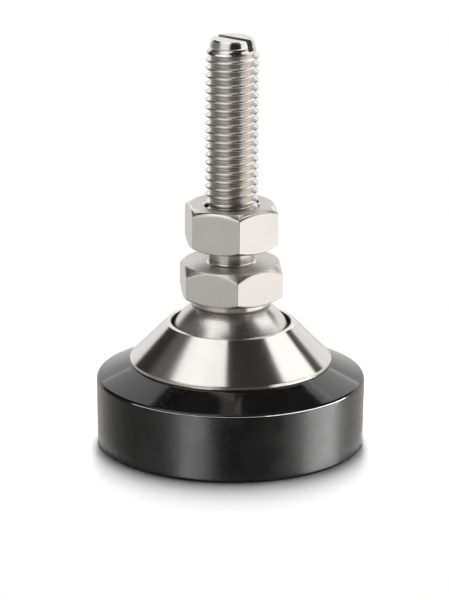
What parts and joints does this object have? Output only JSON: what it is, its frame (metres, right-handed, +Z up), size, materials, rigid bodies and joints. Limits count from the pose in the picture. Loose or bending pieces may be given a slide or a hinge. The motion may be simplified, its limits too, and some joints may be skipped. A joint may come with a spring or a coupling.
{
  "type": "levelling foot",
  "caption": "Levelling foot: a round black base and a bright conical housing hold the ball end of a threaded spindle with a spanner hexagon and a lock nut.",
  "frame": {"origin": "centre of the base's underside, on the floor", "axes": "+Z up along the spindle, +X to the right and -Y towards the viewer in the picture"},
  "size_m": [0.05, 0.05, 0.0778],
  "materials": {
    "rubber_black": "satin black, hard",
    "bright_nickel": "bright nickel plate on turned steel",
    "cup_plastic": "natural acetal",
    "ring_steel": "phosphated spring steel"
  },
  "bodies": {
    "foot": {"foot_base": "rubber_black", "cone_housing": "bright_nickel", "retaining_ring": "ring_steel"},
    "cup": {"ball_cup": "cup_plastic"},
    "spindle": {"spindle": "bright_nickel"},
    "nut": {"lock_nut": "bright_nickel"}
  },
  "joints": [
    {"name": "swivel", "type": "hinge", "parent": "foot", "child": "cup", "pos_m": [0, 0, 0.0171], "axis": [0, 0, 1], "continuous": true},
    {"name": "tilt", "type": "hinge", "parent": "cup", "child": "spindle", "pos_m": [0, 0, 0.0171], "axis": [0, 1, 0], "range_deg": [-20, 20]},
    {"name": "nut_travel", "type": "slide", "parent": "spindle", "child": "nut", "axis": [0, 0, 1], "range_m": [-0.0028, 0.0287]}
  ]
}
